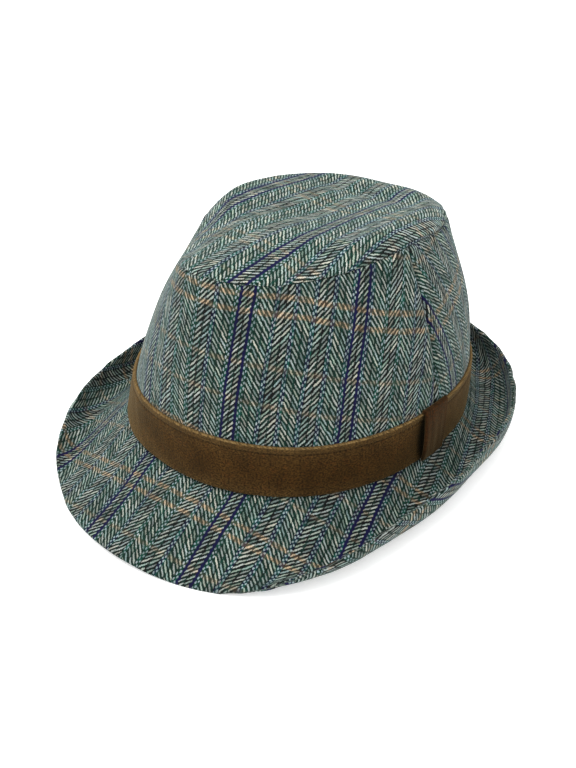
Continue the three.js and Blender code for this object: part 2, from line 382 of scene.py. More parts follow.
def build_piece(name, vertices, faces, cloth, node, material):
    """Mesh object with its cloth coordinates, riding on the body in place of its node."""
    mesh = bpy.data.meshes.new(name)
    mesh.from_pydata((rested(vertices) * MILLIMETRE).tolist(), [], faces)
    layer = mesh.uv_layers.new(name="cloth")
    loops = np.empty(len(mesh.loops), dtype=np.int32)
    mesh.loops.foreach_get("vertex_index", loops)
    layer.data.foreach_set("uv", cloth[loops].astype(np.float32).ravel())
    mesh.polygons.foreach_set("use_smooth", np.ones(len(mesh.polygons), dtype=bool))
    mesh.materials.append(material)
    mesh.validate()
    piece = bpy.data.objects.new(name, mesh)
    bpy.context.scene.collection.objects.link(piece)
    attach(piece, "root")
    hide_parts(node)


# Herringbone and check, in millimetres of cloth
COLUMN_WIDTH = 9.5
MARGIN_WIDTH = 2.1
STRAND_WIDTH = 0.5 * (COLUMN_WIDTH - MARGIN_WIDTH)
TWILL_PITCH = 2.61
TWILL_SLOPE = 1.18
DASH_HALF_LENGTH = 1.85
DASH_HALF_HEIGHT = 0.66
STRIPE_REPEAT = 6
CHECK_REPEAT = 67.5
STRONG_THREAD = 3.5
FAINT_THREAD = 25.5
NAVY_THREAD = 3.1
NAVY_HALF_WIDTH = 0.68

# Where a navy pair crosses a peach pair on each piece
FRONT_CROSSING = np.array([32.3, 92.5])
BACK_CROSSING = np.array([-14.0, 88.0])
TIP_CROSSING = np.array([20.0, -41.0])
BRIM_CROSSING = np.array([30.0, -133.4])
UNDER_BRIM_CROSSING = np.array([11.0, -95.0])

# Lie of the cloth on the crown panels and the brim
PANEL_LEAN = 4.6
PANEL_DROP = 0.21
PANEL_DROP_START = 25.0
BRIM_TURN = np.radians(5.2)
BRIM_FLAT_SLOPE = np.radians(33.0)


def panel_grid(first_angle, last_angle):
    """Crown panel with rolled seam edges. Returns its outside, inside and cloth coordinates."""
    angle_row = np.linspace(first_angle, last_angle, PANEL_COLUMNS)
    share_row = crowded_shares(PANEL_ROWS, PANEL_CROWDING)
    angle, share = np.meshgrid(angle_row, share_row, indexing="xy")
    outside = wall_point(angle, share)
    normal = grid_normals(outside)
    along = ring_length(outside)
    from_side = np.minimum(along, along[:, -1:] - along)
    height = seam_height(angle) * share
    from_top = seam_height(angle) * (1 - share)
    roll = SEAM_ROLL * (hump(from_side, SIDE_ROLL_REACH) + hump(from_top, TOP_ROLL_REACH))
    near_seam = np.exp(-from_side / SIDE_RIPPLE_REACH) + np.exp(-from_top / TOP_RIPPLE_REACH)
    ripple = SEAM_RIPPLE * near_seam * waves(outside, SEAM_RIPPLE_WAVE, "seam")
    free = smooth_step(height, BAND_HEIGHT, BAND_HEIGHT + PANEL_FREE_REACH)
    softness = SOFTNESS * free * waves(outside, PANEL_WAVE, "panel")
    outside = outside + normal * (softness + ripple * free - roll)[..., None]
    inside = outside - normal * (CROWN_CLOTH - INSIDE_CLEARANCE)
    middle = 0.5 * (first_angle + last_angle)
    at_middle = np.argmin(np.abs(angle_row - middle))
    cloth_x = along - along[:, at_middle:at_middle + 1] + PANEL_LEAN * share
    drop = PANEL_DROP * (np.hypot(cloth_x, PANEL_DROP_START) - PANEL_DROP_START)
    return outside, inside, np.stack([cloth_x, height + drop], -1)


def make_panel(node, first_angle, last_angle, crossing, material):
    """Front or back panel of the crown wall."""
    outside, inside, cloth = panel_grid(first_angle, last_angle)
    cloth = cloth - crossing
    build_piece(node + "_cloth", closed_section(outside, inside),
                loop_faces(2 * PANEL_ROWS, PANEL_COLUMNS, False),
                closed_section(cloth, cloth), node, material)


def tip_cloth(outside):
    """Cloth coordinates of the top, true to length along each line out from its middle."""
    steps = np.linalg.norm(np.diff(outside, axis=0), axis=-1)
    reach = np.cumsum(steps[::-1], axis=0)[::-1]
    last = np.linalg.norm(outside[-1, :, :2] - [0, TIP_SETBACK], axis=-1)
    reach = np.concatenate([reach, np.zeros((1, len(last)))]) + last
    direction = outside[0, :, :2] - [0, TIP_SETBACK]
    direction = direction / np.linalg.norm(direction, axis=-1, keepdims=True)
    return direction * reach[..., None] + [0, TIP_SETBACK]


def tip_normals(outside, angle_row):
    """Normals of the top, which at the seam are those of the wall below it."""
    wrapped = np.concatenate([outside[:, -1:], outside, outside[:, :1]], axis=1)
    normal = grid_normals(wrapped)[:, 1:-1]
    closed_row = np.append(angle_row, 360.0)
    wall_angle, wall_share = np.meshgrid(closed_row, [WALL_TOP_SHARE, 1.0], indexing="xy")
    normal[0] = grid_normals(wall_point(wall_angle, wall_share))[1, :-1]
    return normal


def make_tip(material):
    """Top of the crown, closed at its centre on both sides."""
    angle_row = np.arange(TIP_COLUMNS) * 360.0 / TIP_COLUMNS
    share_row = TIP_LAST_SHARE * np.linspace(0, 1, TIP_ROWS) ** TIP_CROWDING
    angle, share = np.meshgrid(angle_row, share_row, indexing="xy")
    outside = tip_point(angle, share)
    outside[..., 2] += SEAM_GAP
    normal = tip_normals(outside, angle_row)
    from_seam = np.cumsum(np.linalg.norm(np.diff(outside, axis=0), axis=-1), axis=0)
    from_seam = np.concatenate([np.zeros((1, TIP_COLUMNS)), from_seam])
    roll = SEAM_ROLL * hump(from_seam, TOP_ROLL_REACH)
    near_seam = np.exp(-from_seam / TOP_RIPPLE_REACH)
    ripple = SEAM_RIPPLE * near_seam * waves(outside, SEAM_RIPPLE_WAVE, "seam")
    softness = SOFTNESS * smooth_step(from_seam, 0, TIP_FREE_REACH) * waves(outside, TIP_WAVE, "tip")
    outside = outside + normal * (softness + ripple - roll)[..., None]
    inside = outside - normal * (CROWN_CLOTH - INSIDE_CLEARANCE)
    cloth = tip_cloth(outside) - TIP_CROSSING
    poles = np.array([outside[-1].mean(axis=0), inside[-1].mean(axis=0)])
    vertices = np.concatenate([closed_section(outside, inside), poles])
    cloth_poles = np.array([cloth[-1].mean(axis=0)] * 2)
    both = np.concatenate([closed_section(cloth, cloth), cloth_poles])

    # The faces between the last rows of both sides give way to a fan on each side
    outer_ring = (TIP_ROWS - 1) * TIP_COLUMNS
    inner_ring = TIP_ROWS * TIP_COLUMNS
    outer_pole = 2 * TIP_ROWS * TIP_COLUMNS
    all_faces = loop_faces(2 * TIP_ROWS, TIP_COLUMNS, True)
    faces = [face for face in all_faces if face[0] // TIP_COLUMNS != TIP_ROWS - 1]
    for column in range(TIP_COLUMNS):
        following = (column + 1) % TIP_COLUMNS
        faces.append([outer_ring + column, outer_ring + following, outer_pole])
        faces.append([inner_ring + following, inner_ring + column, outer_pole + 1])
    build_piece("crown_tip_cloth", vertices, faces, both, "crown_tip", material)


def brim_cloth(run, angle_row):
    """Cloth coordinates of the brim, laid flat as part of a cone and turned on the grain."""
    flat = np.cos(BRIM_FLAT_SLOPE)
    opening = opening_point(angle_row)
    plan = np.arctan2(opening[:, 0], -opening[:, 1])
    radius = np.hypot(opening[:, 0], opening[:, 1]) / flat + run
    x = radius * np.sin(plan * flat)
    y = -radius * np.cos(plan * flat)
    return np.stack([x * np.cos(BRIM_TURN) + y * np.sin(BRIM_TURN),
                     y * np.cos(BRIM_TURN) - x * np.sin(BRIM_TURN)], -1)


def brim_upper(angle_row, outward):
    """Upper side of the brim, with its slope and its run outward at each point."""
    width = BRIM_WIDTH * around("brim_width", angle_row)
    shares = crowded_shares(BRIM_STEPS + 1, BRIM_CROWDING)
    place = opening_point(angle_row)
    place[..., 2] -= SEAM_GAP
    upper = [place - outward * CROWN_CLOTH, place.copy()]
    slopes = [np.zeros(BRIM_COLUMNS), np.zeros(BRIM_COLUMNS)]
    run = [np.full(BRIM_COLUMNS, -CROWN_CLOTH), np.zeros(BRIM_COLUMNS)]
    for before, after in zip(shares[:-1], shares[1:]):
        middle = brim_slope(angle_row, 0.5 * (before + after))
        stride = width * (after - before)
        place = place + outward * (np.cos(middle) * stride)[:, None]
        place[:, 2] += np.sin(middle) * stride
        upper.append(place.copy())
        slopes.append(brim_slope(angle_row, after))
        run.append(width * after)
    return np.array(upper), np.array(slopes), np.array(run)


def make_brim(material):
    """Brim with a rounded edge, from the head opening outward and back beneath."""
    angle_row = np.arange(BRIM_COLUMNS) * 360.0 / BRIM_COLUMNS
    outward = outward_at(angle_row)
    upper, slopes, run = brim_upper(angle_row, outward)
    from_edge = run[-1:] - run
    up = np.stack([-outward[None, :, 0] * np.sin(slopes), -outward[None, :, 1] * np.sin(slopes),
                   np.cos(slopes)], -1)
    free = smooth_step(run, BRIM_FREE_START, BRIM_FREE_FULL)
    softness = SOFTNESS * free * waves(upper, BRIM_WAVE, "brim")
    near_edge = np.exp(-from_edge / EDGE_RIPPLE_REACH)
    ripple = EDGE_RIPPLE * near_edge * waves(upper, EDGE_RIPPLE_WAVE, "brim_edge")
    on_edge = np.exp(-from_edge / FRINGE_RIPPLE_REACH)
    ripple += FRINGE_RIPPLE * on_edge * waves(upper, FRINGE_RIPPLE_WAVE, "brim_fringe")
    upper = upper + up * (softness + ripple)[..., None]
    half = 0.5 * BRIM_CLOTH
    middle = upper - up * half
    fullness = np.sqrt(1 - (1 - np.minimum(from_edge / half, 1)) ** 2)
    offset = up * (half * fullness)[..., None]
    flat = brim_cloth(run, angle_row)
    build_piece("brim_cloth", closed_section(middle + offset, (middle - offset)[:-1]),
                loop_faces(2 * len(upper) - 1, BRIM_COLUMNS, True),
                closed_section(flat - BRIM_CROSSING, (flat - UNDER_BRIM_CROSSING)[:-1]),
                "brim", material)


# Hatband: slight belly, rolled lip at its top edge, and a groove with topstitches below it
BAND_BELLY = 0.15
LIP_WIDTH = 0.7
LIP_RISE = 0.3
TOP_EDGE_ROLL = 0.9
TOP_EDGE_REACH = 0.4
BOTTOM_EDGE_ROLL = 0.8
BOTTOM_EDGE_REACH = 0.6
STITCH_DEPTH = 3.5
STITCH_LENGTH = 2.8
STITCH_GROOVE = 0.32
STITCH_GROOVE_REACH = 0.6
BAND_RIPPLE = 0.13
BAND_WAVE = 26.0
BAND_FINE_RIPPLE = 0.05
BAND_FINE_WAVE = 9.0
BAND_INSIDE = 0.1

# Keeper: its front edge stands off the band, and its flange folds in over the band's top edge
KEEPER_LIFT = 3.0
KEEPER_LIFT_REACH = 9.0
KEEPER_LIFT_SHIFT = 0.8
KEEPER_BELLY_POWER = 0.7
KEEPER_CLEARANCE = 0.1
KEEPER_FLANGE = 1.2
KEEPER_EDGE_ROLL = 0.4
KEEPER_EDGE_REACH = 0.5

# The band dips in under the keeper's front edge, with a painted shadow there
TUCK_START = 0.5
TUCK_REACH = 5.0
TUCK_SHARE = 0.8
TUCK_POWER = 0.5
FOLD_SHADOW_WIDTH = 3.9

# Creases along the keeper: depth, distance apart, slant, and how far from its edges they fade
CREASE_DEPTH = 0.1
CREASE_APART = 5.5
CREASE_SLANT = 0.05
CREASE_FADE = 2.0

# Where the keeper's cloth starts, away from the band's lip, stitches and fold
KEEPER_CLOTH_PLACE = np.array([40.0, -60.0])


def band_thickness(from_top, from_bottom):
    """Thickness of the hatband at a distance from its top and bottom edges."""
    belly = BAND_BELLY * np.sin(np.pi * from_bottom / BAND_HEIGHT)
    lip = LIP_RISE * hump(from_top - LIP_WIDTH, LIP_WIDTH)
    top_edge = TOP_EDGE_ROLL * hump(from_top, TOP_EDGE_REACH)
    bottom_edge = BOTTOM_EDGE_ROLL * hump(from_bottom, BOTTOM_EDGE_REACH)
    groove = STITCH_GROOVE * hump(from_top - STITCH_DEPTH, STITCH_GROOVE_REACH)
    return BAND_CLOTH + belly + lip - top_edge - bottom_edge - groove


def wall_frame(angle, height):
    """Points and outward normals of the crown wall for equal grids of angles and heights."""
    share = height / seam_height(angle)
    point = wall_point(angle, share)
    across = wall_point(angle + SMALL_STEP, share) - wall_point(angle - SMALL_STEP, share)
    upward = wall_point(angle, share + SMALL_STEP) - wall_point(angle, share - SMALL_STEP)
    normal = np.cross(across, upward)
    return point, normal / np.linalg.norm(normal, axis=-1, keepdims=True)


def keeper_half_angle():
    """Half of the angle that the keeper covers."""
    return np.degrees(0.5 * KEEPER_WIDTH / OPENING_HALF_WIDTH)


def past_keeper_edge(angle):
    """Distance around the hat from the keeper's front edge."""
    return np.radians(angle - KEEPER_ANGLE + keeper_half_angle()) * OPENING_HALF_WIDTH


def band_tuck(angle, level):
    """Share of the band's thickness, pressed down where it goes in under the keeper."""
    near_keeper = hump(past_keeper_edge(angle) + TUCK_START, TUCK_REACH)
    return 1 - TUCK_SHARE * near_keeper * np.sin(np.pi * np.clip(level, 0, 1)) ** TUCK_POWER


def make_hatband(material):
    """Band around the foot of the crown. Its cloth starts and ends under the keeper."""
    angle_row = np.mod(KEEPER_ANGLE + np.arange(BAND_COLUMNS) * 360.0 / BAND_COLUMNS, 360)
    level_row = 0.5 - 0.5 * np.cos(np.pi * np.linspace(0, 1, BAND_ROWS))
    angle, level = np.meshgrid(angle_row, level_row, indexing="xy")
    height = SEAM_GAP + (band_top(angle) - SEAM_GAP) * level
    from_top = band_top(angle) - height
    point, normal = wall_frame(angle, height)
    ripple = BAND_RIPPLE * waves(point, BAND_WAVE, "band")
    ripple += BAND_FINE_RIPPLE * waves(point, BAND_FINE_WAVE, "band_fine")
    thickness = band_thickness(from_top, height - SEAM_GAP) + ripple * np.minimum(from_top, 1)
    outside = point + normal * (SEAM_GAP + thickness * band_tuck(angle, level))[..., None]
    inside = point + normal * BAND_INSIDE
    along = ring_length(np.concatenate([outside, outside[:, :1]], axis=1))
    before_keeper = along[:, :-1] - along[:, -1:] + 0.5 * KEEPER_WIDTH
    cloth = np.stack([before_keeper, -from_top], -1)
    build_piece("hatband_cloth", closed_section(outside, inside),
                loop_faces(2 * BAND_ROWS, BAND_COLUMNS, True),
                closed_section(cloth, cloth), "hatband", material)


def make_keeper(material):
    """Keeper over the band, which folds over the band's top edge towards the crown."""
    half = keeper_half_angle()
    angle_row = np.linspace(KEEPER_ANGLE - half, KEEPER_ANGLE + half, KEEPER_COLUMNS)
    inner = 2 * SEAM_GAP + BAND_CLOTH + KEEPER_CLEARANCE
    outer = inner + BAND_CLOTH

    # Rows up the keeper, around its fold and in to the crown
    turn = np.linspace(0, np.pi / 2, KEEPER_TURN_ROWS + 1)[1:]
    level_row = np.concatenate([np.linspace(0, 1, KEEPER_ROWS), np.ones(KEEPER_TURN_ROWS + 2)])
    rise_row = np.concatenate([np.zeros(KEEPER_ROWS), BAND_CLOTH * np.sin(turn), [BAND_CLOTH, BAND_CLOTH]])
    distance_row = np.concatenate([np.full(KEEPER_ROWS, outer), inner + BAND_CLOTH * np.cos(turn),
                                   [KEEPER_FLANGE, SEAM_GAP]])
    distance = distance_row[:, None]

    angle, level = np.meshgrid(angle_row, level_row, indexing="xy")
    top = band_top(angle) + SEAM_GAP
    height = SEAM_GAP + (top - SEAM_GAP) * level + rise_row[:, None]
    across = past_keeper_edge(angle)
    belly = np.sin(np.pi * level) ** KEEPER_BELLY_POWER
    lift = KEEPER_LIFT * hump(across, KEEPER_LIFT_REACH) * belly
    from_edge = np.minimum(across, KEEPER_WIDTH - across)
    crease = CREASE_DEPTH * np.sin(across * 2 * np.pi / CREASE_APART + CREASE_SLANT * height)
    crease = crease * np.minimum(from_edge / CREASE_FADE, 1) * belly
    edge_roll = KEEPER_EDGE_ROLL * hump(from_edge, KEEPER_EDGE_REACH)

    angle = angle - np.degrees(KEEPER_LIFT_SHIFT * lift / OPENING_HALF_WIDTH)
    is_flange = distance < inner
    point, normal = wall_frame(angle, height)
    outside = point + normal * (distance + np.where(is_flange, 0, lift + crease - edge_roll))[..., None]
    point, normal = wall_frame(angle, np.minimum(height, top))
    inside = point + normal * np.where(is_flange, distance, inner + lift)[..., None]
    cloth = np.stack([across, height], -1) + KEEPER_CLOTH_PLACE
    build_piece("keeper_cloth", closed_section(outside, inside),
                loop_faces(2 * len(level_row), KEEPER_COLUMNS, False),
                closed_section(cloth, cloth), "band_tab", material)


class Nodes:
    """Short ways to add shader nodes to one material."""

    def __init__(self, name):
        """Start a material with its usual shader."""
        self.material = bpy.data.materials.new(name)
        self.material.use_nodes = True
        self.tree = self.material.node_tree
        self.shader = self.tree.nodes["Principled BSDF"]

    def put(self, socket, value):
        """Link a node's output to a socket, or set the socket to a number or a colour."""
        if isinstance(value, bpy.types.NodeSocket):
            self.tree.links.new(value, socket)
        elif isinstance(value, tuple) and len(value) == 3:
            socket.default_value = (*value, 1.0)
        else:
            socket.default_value = value

    def set(self, **values):
        """Set or link inputs of the shader, named with _ for each space."""
        for name, value in values.items():
            self.put(self.shader.inputs[name.replace("_", " ")], value)

    def math(self, operation, first, second=0.0, third=0.0, clamp=False):
        """One sum of up to three values."""
        node = self.tree.nodes.new("ShaderNodeMath")
        node.operation = operation
        node.use_clamp = clamp
        for socket, value in zip(node.inputs, (first, second, third)):
            self.put(socket, value)
        return node.outputs[0]

    def add(self, first, second):
        """Sum of two values."""
        return self.math("ADD", first, second)

    def subtract(self, first, second):
        """First value less the second."""
        return self.math("SUBTRACT", first, second)

    def multiply(self, first, second):
        """Product of two values."""
        return self.math("MULTIPLY", first, second)

    def square(self, value):
        """Value times itself."""
        return self.math("MULTIPLY", value, value)

    def away(self, value, centre):
        """Distance of a value from a centre."""
        return self.math("ABSOLUTE", self.subtract(value, centre))

    def line(self, value, gain, offset):
        """Value times a gain, plus an offset."""
        return self.math("MULTIPLY_ADD", value, gain, offset)

    def ramp(self, value, gain, offset):
        """Value times a gain, plus an offset, kept from 0 to 1."""
        return self.math("MULTIPLY_ADD", value, gain, offset, clamp=True)

    def below(self, value, edge, softness):
        """1 below the edge and 0 above it, with a soft change."""
        return self.ramp(self.subtract(edge, value), 0.5 / softness, 0.5)

    def mix(self, factor, first, second):
        """First colour changed to the second by a factor from 0 to 1."""
        node = self.tree.nodes.new("ShaderNodeMix")
        node.data_type = "RGBA"
        self.put(node.inputs["Factor"], factor)
        colours = [socket for socket in node.inputs if socket.type == "RGBA"]
        self.put(colours[0], first)
        self.put(colours[1], second)
        return next(socket for socket in node.outputs if socket.type == "RGBA")

    def cloth(self):
        """Cloth coordinates in millimetres: the joined vector, then across and along."""
        node = self.tree.nodes.new("ShaderNodeUVMap")
        node.uv_map = "cloth"
        parts = self.tree.nodes.new("ShaderNodeSeparateXYZ")
        self.tree.links.new(node.outputs[0], parts.inputs[0])
        return node.outputs[0], parts.outputs[0], parts.outputs[1]

    def join(self, x, y):
        """Vector of two values."""
        node = self.tree.nodes.new("ShaderNodeCombineXYZ")
        self.put(node.inputs[0], x)
        self.put(node.inputs[1], y)
        return node.outputs[0]

    def stretched(self, across, along, stretch):
        """Vector of the cloth coordinates, each times its own factor."""
        return self.join(self.multiply(across, stretch[0]), self.multiply(along, stretch[1]))

    def noise(self, vector, scale, detail):
        """Smooth noise, about 0.3 to 0.7 around 0.5."""
        node = self.tree.nodes.new("ShaderNodeTexNoise")
        self.put(node.inputs["Vector"], vector)
        self.put(node.inputs["Scale"], scale)
        self.put(node.inputs["Detail"], detail)
        return node.outputs[0]

    def shift(self, vector, scale, detail, reach):
        """Noise around 0, up to about a fifth of the reach each way."""
        return self.multiply(self.subtract(self.noise(vector, scale, detail), 0.5), reach)

    def patches(self, vector, scale, detail, gain, offset):
        """Noise with more contrast, kept from 0 to 1."""
        return self.ramp(self.noise(vector, scale, detail), gain, offset)

    def random(self, x, y):
        """A steady random value for each whole pair of numbers."""
        node = self.tree.nodes.new("ShaderNodeTexWhiteNoise")
        node.noise_dimensions = "2D"
        self.put(node.inputs["Vector"], self.join(x, y))
        return node.outputs[0]

    def scaled(self, colour, factor):
        """Colour made lighter or darker by a factor."""
        node = self.tree.nodes.new("ShaderNodeVectorMath")
        node.operation = "SCALE"
        self.put(node.inputs[0], colour)
        self.put(node.inputs["Scale"], factor)
        return node.outputs[0]

    def bump(self, height, strength):
        """Small relief from a height."""
        node = self.tree.nodes.new("ShaderNodeBump")
        self.put(node.inputs["Height"], height)
        self.put(node.inputs["Strength"], strength)
        self.put(node.inputs["Distance"], BUMP_DISTANCE)
        self.tree.links.new(node.outputs[0], self.shader.inputs["Normal"])


def linear(red, green, blue):
    """Linear colour from a screen colour of 0 to 255."""
    channels = []
    for value in (red, green, blue):
        part = value / 255
        channels.append(part / 12.92 if part <= 0.04045 else ((part + 0.055) / 1.055) ** 2.4)
    return tuple(channels)


# Depth of the relief in the cloth, in metres
BUMP_DISTANCE = 0.0004

# Tweed colours
CREAM = linear(205, 205, 189)
PALE_GREEN = linear(150, 177, 158)
PALE_BLUE = linear(144, 168, 178)
PEACH = linear(216, 182, 142)
DARK_GREEN = linear(1, 44, 32)
TEAL = linear(4, 86, 70)
INK = linear(8, 14, 46)
BLACK_BROWN = linear(7, 9, 9)
NAVY = linear(8, 8, 60)
TWEED_SHEEN = (0.5, 0.64, 0.62)

# Noise that moves the threads: scale, detail and reach in millimetres
DRIFT = (0.09, 2.0, 0.8)
WOBBLE = (0.5, 2.0, 0.6)
WANDER = (0.11, 2.0, 1.6)
WANDER_PLACE = 40.0
JOLT = (0.45, 2.0, 1.0)

# Noise that roughens the outline of each dash and dot: scale, detail and reach
FUZZ = (1.7, 3.0, 2.8)
DASH_FUZZ = 1.2

# Dashes: shift between strands, uneven rows and lengths, and their soft outline
STRAND_SHIFT = 0.12
ROW_JITTER = 0.1
LENGTH_SPREAD = 0.5
LENGTH_DROP = 0.35
DASH_EDGE = 0.75
DASH_SOFTNESS = 0.4

# Dots of the margin
DOT_HALF_HEIGHT = 0.7
DOT_HALF_WIDTH = 0.45
DOT_EDGE = 0.9
DOT_SOFTNESS = 0.35

# Navy line: its sideways wave and its soft edge
NAVY_WAVE = 0.2
NAVY_SOFTNESS = 0.2

# Peach threads: half width and softness, the strength of the faint ones, and their patches
STRONG_HALF_WIDTH = 1.15
STRONG_SOFTNESS = 0.4
FAINT_HALF_WIDTH = 1.0
FAINT_SOFTNESS = 0.6
FAINT_STRENGTH = 0.55
PEACH_STRETCH = (0.5, 1.0)
PEACH_PATCHES = (0.35, 2.0, 3.2, -0.6)
PEACH_IN_WARP = 0.09
PEACH_IN_WEFT = 0.8

# Colours of the warp: green columns, streaks of teal, and the share of green margins
STREAK_STRETCH = (1.6, 0.35)
STREAK_PATCHES = (0.5, 2.0, 4.4, -2.0)
GREEN_SHARE = 0.6
TEAL_SHARE = 0.35
MARGIN_TEAL_SHARE = 0.85
MARGIN_GREEN_SHARE = 0.45

# Colours of the weft: share of green dashes, how blue and how pale the dashes are
GREEN_DASH = (1.3, -0.3)
BLUE_DASH_SHARE = 0.6
BLUE_DOT_SHARE = 0.6
DASH_SHADE = (0.7, 0.44)

# Numbers that set one random value apart from another
ZONE_ROW = 3.0
VIVID_ROW = 31.0
BLUE_ROW = 77.0

# Light and dark in the cloth, its roughness and its relief
FIBRE = (2.6, 4.0)
FIBRE_GAIN = 2.0
CLOUD = (0.16, 3.0)
CLOUD_GAIN = 0.72
TWEED_ROUGHNESS = (-0.08, 0.96)
DASH_HEIGHT = 0.7
FIBRE_HEIGHT = 0.35
TWEED_BUMP = 0.6


def tweed_material(name, lightness, peach_share):
    """Herringbone of pale weft on dark warp, with navy pairs along it and peach pairs across it."""
    nodes = Nodes(name)
    vector, raw_across, raw_along = nodes.cloth()
    across = nodes.add(raw_across, nodes.shift(vector, *DRIFT))
    across = nodes.add(across, nodes.shift(vector, *WOBBLE))
    across = nodes.add(across, MARGIN_WIDTH + STRAND_WIDTH)
    wander_vector = nodes.join(nodes.add(raw_across, WANDER_PLACE), raw_along)
    along = nodes.add(raw_along, nodes.shift(wander_vector, *WANDER))
    along = nodes.add(along, nodes.shift(nodes.join(raw_along, raw_across), *JOLT))
    column = nodes.math("DIVIDE", across, COLUMN_WIDTH)
    index = nodes.math("FLOOR", column)
    inside = nodes.multiply(nodes.math("FRACT", column), COLUMN_WIDTH)
    parity = nodes.math("FLOORED_MODULO", index, 2.0)
    direction = nodes.line(parity, -2.0, 1.0)
    fuzz = nodes.shift(vector, *FUZZ)

    # Two strands of slanting dashes in each column, after a dotted margin
    from_margin = nodes.subtract(inside, MARGIN_WIDTH)
    in_margin = nodes.math("LESS_THAN", from_margin, 0.0)
    strand = nodes.math("GREATER_THAN", from_margin, STRAND_WIDTH)
    in_strand = nodes.subtract(from_margin, nodes.multiply(strand, STRAND_WIDTH))
    off_centre = nodes.subtract(from_margin, STRAND_WIDTH)
    slant = nodes.multiply(nodes.multiply(off_centre, direction), TWILL_SLOPE)
    row_place = nodes.math("DIVIDE", nodes.subtract(along, slant), TWILL_PITCH)
    row_place = nodes.add(row_place, nodes.multiply(nodes.multiply(strand, direction), STRAND_SHIFT))
    row_index = nodes.math("FLOOR", row_place)
    strand_index = nodes.line(index, 2.0, strand)
    pick = nodes.random(row_index, strand_index)
    off_row = nodes.line(pick, ROW_JITTER, nodes.math("FRACT", row_place))
    off_row = nodes.subtract(off_row, 0.5 + 0.5 * ROW_JITTER)
    off_row = nodes.multiply(off_row, TWILL_PITCH / DASH_HALF_HEIGHT)
    vivid = nodes.random(nodes.add(strand_index, VIVID_ROW), row_index)
    half_length = nodes.line(vivid, LENGTH_SPREAD, DASH_HALF_LENGTH - LENGTH_DROP)
    off_end = nodes.math("DIVIDE", nodes.away(in_strand, 0.5 * STRAND_WIDTH), half_length)
    off_dash = nodes.add(nodes.square(off_row), nodes.math("POWER", off_end, 4.0))
    off_dash = nodes.add(off_dash, nodes.multiply(fuzz, DASH_FUZZ))
    dash = nodes.below(off_dash, DASH_EDGE, DASH_SOFTNESS)
    dash = nodes.multiply(dash, nodes.subtract(1.0, in_margin))

    # Dots in the margin, in two staggered chains
    chain_width = 0.5 * MARGIN_WIDTH
    chain = nodes.math("GREATER_THAN", inside, chain_width)
    dot_place = nodes.math("DIVIDE", along, TWILL_PITCH)
    dot_place = nodes.add(dot_place, nodes.multiply(chain, 0.5))
    off_dot = nodes.subtract(nodes.math("FRACT", dot_place), 0.5)
    off_dot = nodes.multiply(off_dot, TWILL_PITCH / DOT_HALF_HEIGHT)
    off_chain = nodes.math("FRACT", nodes.math("DIVIDE", inside, chain_width))
    off_chain = nodes.multiply(nodes.subtract(off_chain, 0.5), chain_width / DOT_HALF_WIDTH)
    dot_distance = nodes.add(nodes.square(off_dot), nodes.square(off_chain))
    dot_distance = nodes.add(dot_distance, fuzz)
    dot = nodes.multiply(nodes.below(dot_distance, DOT_EDGE, DOT_SOFTNESS), in_margin)

    # Navy line on each side of every sixth column
    repeat = STRIPE_REPEAT * COLUMN_WIDTH
    to_pair = 0.5 * repeat - MARGIN_WIDTH - STRAND_WIDTH
    pair_place = nodes.math("FLOORED_MODULO", nodes.add(across, to_pair), repeat)
    from_thread = nodes.subtract(nodes.away(pair_place, 0.5 * repeat), NAVY_THREAD)
    chain_wave = nodes.math("SINE", nodes.multiply(dot_place, 2 * np.pi))
    off_navy = nodes.math("ABSOLUTE", nodes.line(chain_wave, NAVY_WAVE, from_thread))
    navy_line = nodes.below(off_navy, NAVY_HALF_WIDTH, NAVY_SOFTNESS)
    bare = nodes.subtract(1.0, navy_line)
    dot = nodes.multiply(dot, bare)
    dash = nodes.multiply(dash, bare)

    # Peach threads across the cloth in pairs, with a fainter and wider pair between them
    check = nodes.math("FLOORED_MODULO", nodes.add(along, 0.5 * CHECK_REPEAT), CHECK_REPEAT)
    from_crossing = nodes.away(check, 0.5 * CHECK_REPEAT)
    strong = nodes.below(nodes.away(from_crossing, STRONG_THREAD), STRONG_HALF_WIDTH, STRONG_SOFTNESS)
    faint = nodes.below(nodes.away(from_crossing, FAINT_THREAD), FAINT_HALF_WIDTH, FAINT_SOFTNESS)
    faint = nodes.multiply(faint, FAINT_STRENGTH)
    patchy = nodes.patches(nodes.stretched(raw_across, raw_along, PEACH_STRETCH), *PEACH_PATCHES)
    peach = nodes.multiply(nodes.math("MAXIMUM", strong, faint), nodes.multiply(patchy, peach_share))

    # Colours of the warp, from column to column and in streaks
    zone = nodes.random(index, ZONE_ROW)
    streak = nodes.patches(nodes.stretched(raw_across, raw_along, STREAK_STRETCH), *STREAK_PATCHES)
    ground = nodes.mix(nodes.multiply(parity, GREEN_SHARE), BLACK_BROWN, DARK_GREEN)
    ground = nodes.mix(nodes.multiply(streak, TEAL_SHARE), ground, TEAL)
    is_ink = nodes.math("GREATER_THAN", zone, MARGIN_GREEN_SHARE)
    margin_colour = nodes.mix(is_ink, DARK_GREEN, INK)
    margin_colour = nodes.mix(nodes.multiply(streak, MARGIN_TEAL_SHARE), margin_colour, TEAL)
    ground = nodes.mix(in_margin, ground, margin_colour)
    ground = nodes.mix(nodes.multiply(peach, PEACH_IN_WARP), ground, PEACH)
    ground = nodes.mix(navy_line, ground, NAVY)

